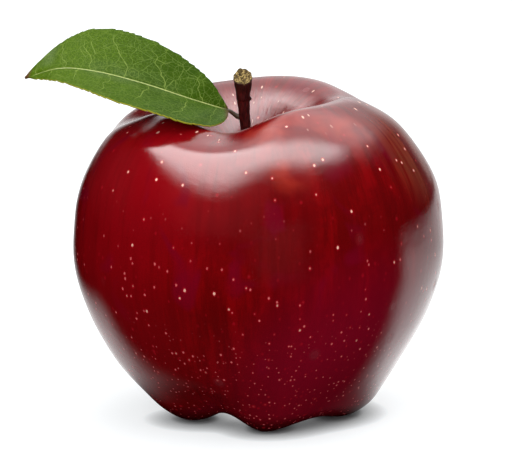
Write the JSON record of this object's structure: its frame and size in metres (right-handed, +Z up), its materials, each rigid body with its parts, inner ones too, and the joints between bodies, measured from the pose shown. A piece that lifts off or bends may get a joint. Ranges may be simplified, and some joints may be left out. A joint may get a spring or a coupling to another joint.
{
  "type": "apple",
  "caption": "Whole red apple standing on the lobed feet of its blossom end, with a short woody stem in the stem cavity and one green leaf folded along its midrib.",
  "frame": {"origin": "middle of the bounding box on the surface that the apple stands on", "axes": "+Z up along the apple's height, +X to the right with the leaf lying towards -X, +Y to the back"},
  "size_m": [0.0896, 0.0801, 0.0844],
  "materials": {
    "apple_skin": "thin waxy fruit skin, deep red with fine streaks and pale pores, glossy",
    "stem_bark": "dark red-brown bark, tan broken end, matt",
    "leaf_blade": "green leaf with pale net veins, satin",
    "dry_sepal": "dried brown sepal, matt",
    "dry_stamen": "dried dark stamens, matt"
  },
  "bodies": {
    "root": {"fruit": "apple_skin", "stem": "stem_bark", "leaf": "leaf_blade", "sepal_1": "dry_sepal", "sepal_2": "dry_sepal", "sepal_3": "dry_sepal", "sepal_4": "dry_sepal", "sepal_5": "dry_sepal", "stamen_tuft": "dry_stamen"}
  },
  "joints": []
}
